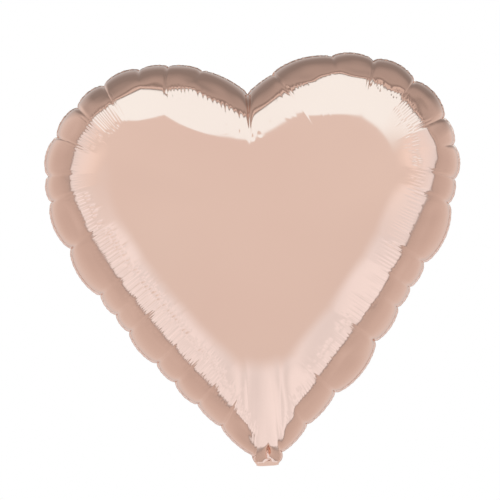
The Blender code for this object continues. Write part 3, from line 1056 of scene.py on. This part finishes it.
def studio_world():
    """A white studio as the foil sees it: a bright ring round the camera, dimmer walls behind."""
    world = bpy.data.worlds.new("studio")
    bpy.context.scene.world = world
    world.use_nodes = True
    nodes = Nodes(world.node_tree)
    world.node_tree.nodes.clear()
    direction = nodes.add("ShaderNodeTexCoord").outputs["Generated"]
    x, y, z = nodes.add("ShaderNodeSeparateXYZ", {0: direction}).outputs
    angle = nodes.math("ARCCOSINE", nodes.math("MULTIPLY", y, -1.0))
    angle = nodes.math("DIVIDE", angle, math.pi)
    across = nodes.math("SUBTRACT", POLE_GUARD, nodes.math("MULTIPLY", y, y))
    across = nodes.math("SQRT", across)
    up = nodes.math("DIVIDE", z, across)
    right = nodes.math("DIVIDE", x, across)

    def by_angle(stops):
        return nodes.ramp(angle, *[
            (degrees / 180, tuple(level * part for part in tint)) for degrees, level, tint in stops
        ])

    def rising(value, low, high):
        return nodes.ramp(value, (0.0, BLACK), (low, BLACK), (high, WHITE))

    upwards = rising(nodes.math("MULTIPLY_ADD", right, TOP_TILT, up), *TOP_EDGES)
    downwards = rising(nodes.math("MULTIPLY", up, -1.0), *LOW_EDGES)
    bearing = nodes.math("ARCTAN2", x, z)
    panels = nodes.math("SINE", nodes.math("MULTIPLY", bearing, PANEL_WAVES))
    panels = nodes.math("MULTIPLY", panels, by_angle(STUDIO_RING))
    panels = nodes.math("MULTIPLY_ADD", panels, PANEL_CONTRAST, 1.0)
    lower = nodes.mix(downwards, by_angle(STUDIO_SIDE), by_angle(STUDIO_LOW))
    scaled = nodes.add("ShaderNodeVectorMath", {0: lower, "Scale": panels}, operation="SCALE")
    seen = nodes.mix(upwards, scaled.outputs[0], by_angle(STUDIO_TOP))
    reflected = nodes.add("ShaderNodeBackground", {"Color": seen})
    # the camera and the plain films see a white backdrop instead
    backdrop = nodes.add("ShaderNodeBackground")
    backdrop.inputs["Color"].default_value = (*WHITE, 1)
    rays = nodes.add("ShaderNodeLightPath").outputs
    plain_rays = nodes.math("MAXIMUM", rays["Is Camera Ray"], rays["Is Diffuse Ray"])
    shaders = {0: plain_rays, 1: reflected.outputs[0], 2: backdrop.outputs[0]}
    chosen = nodes.add("ShaderNodeMixShader", shaders).outputs[0]
    nodes.add("ShaderNodeOutputWorld", {"Surface": chosen})


def floor(finish):
    """A round pale floor a little below the balloon's tip."""
    points = [(0, 0, FLOOR_Z)]
    for r in range(1, FLOOR_RINGS + 1):
        reach = FLOOR_RADIUS * r / FLOOR_RINGS
        for k in range(FLOOR_SPOKES):
            turn = 2 * math.pi * k / FLOOR_SPOKES
            points.append((reach * math.cos(turn), reach * math.sin(turn), FLOOR_Z))
    faces = [(0, 1 + k, 1 + (k + 1) % FLOOR_SPOKES) for k in range(FLOOR_SPOKES)]
    faces += [turned_over(face, 1) for face in quads(FLOOR_RINGS, FLOOR_SPOKES, False, True)]
    disc = new_object("floor", points, faces, finish)
    disc.visible_glossy = False


def lamps():
    """Soft boxes for the floor and the plain films. The foil doesn't show them."""
    for name, place, size, power in LAMPS:
        data = bpy.data.lights.new(name, "AREA")
        data.size = size
        data.energy = power
        lamp = bpy.data.objects.new(name, data)
        bpy.context.scene.collection.objects.link(lamp)
        lamp.location = place
        aim = Vector(LAMP_AIM) - Vector(place)
        lamp.rotation_euler = aim.to_track_quat("-Z", "Y").to_euler()
        lamp.visible_camera = False
        lamp.visible_glossy = False


def camera():
    """Level and straight ahead, leaning a little about its line of sight."""
    data = bpy.data.cameras.new("camera")
    data.lens = CAMERA_LENS
    data.sensor_width = CAMERA_SENSOR
    obj = bpy.data.objects.new("camera", data)
    bpy.context.scene.collection.objects.link(obj)
    lean = Matrix.Rotation(math.radians(CAMERA_LEAN_DEG), 4, "Y")
    level = Matrix.Rotation(math.pi / 2, 4, "X")
    obj.matrix_world = Matrix.Translation(CAMERA_PLACE) @ lean @ level
    bpy.context.scene.camera = obj


def main():
    finishes = {slot: film_material(*look) for slot, look in FILMS.items()}
    outline = Outline()
    columns = Columns(outline)
    front, root = foil_panel("front_foil", outline, columns, -1, finishes["foil"])
    back, _ = foil_panel("back_foil", outline, columns, 1, finishes["foil"])
    crimp = seam(columns, root, finishes["heat_seal"])
    for piece, node in ((front, "front_foil_panel"), (back, "back_foil_panel")):
        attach(piece, "balloon")
        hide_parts(node)
    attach(crimp, "balloon")
    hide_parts("perimeter_heat_seal")
    for name, side in (("tail_front_foil", -1), ("tail_back_foil", 1)):
        film = tail_film(name, side, finishes["foil"])
        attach(film, "tail")
        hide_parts(name.replace("foil", "film"))
    for name, side in (("tail_left_weld", -1), ("tail_right_weld", 1)):
        weld = tail_weld(name, side, finishes["heat_seal"])
        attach(weld, "tail")
        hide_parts(name.replace("weld", "seal"))
    roll = fold_roll(finishes["foil"])
    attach(roll, "balloon")
    for name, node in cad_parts.items():
        finish = "valve_film" if name.startswith("valve") else "heat_seal"
        for slot in node.material_slots:
            slot.material = finishes[finish]
    floor(finishes["floor"])
    lamps()
    studio_world()
    camera()
    bpy.context.scene.view_settings.view_transform = "Standard"


main()
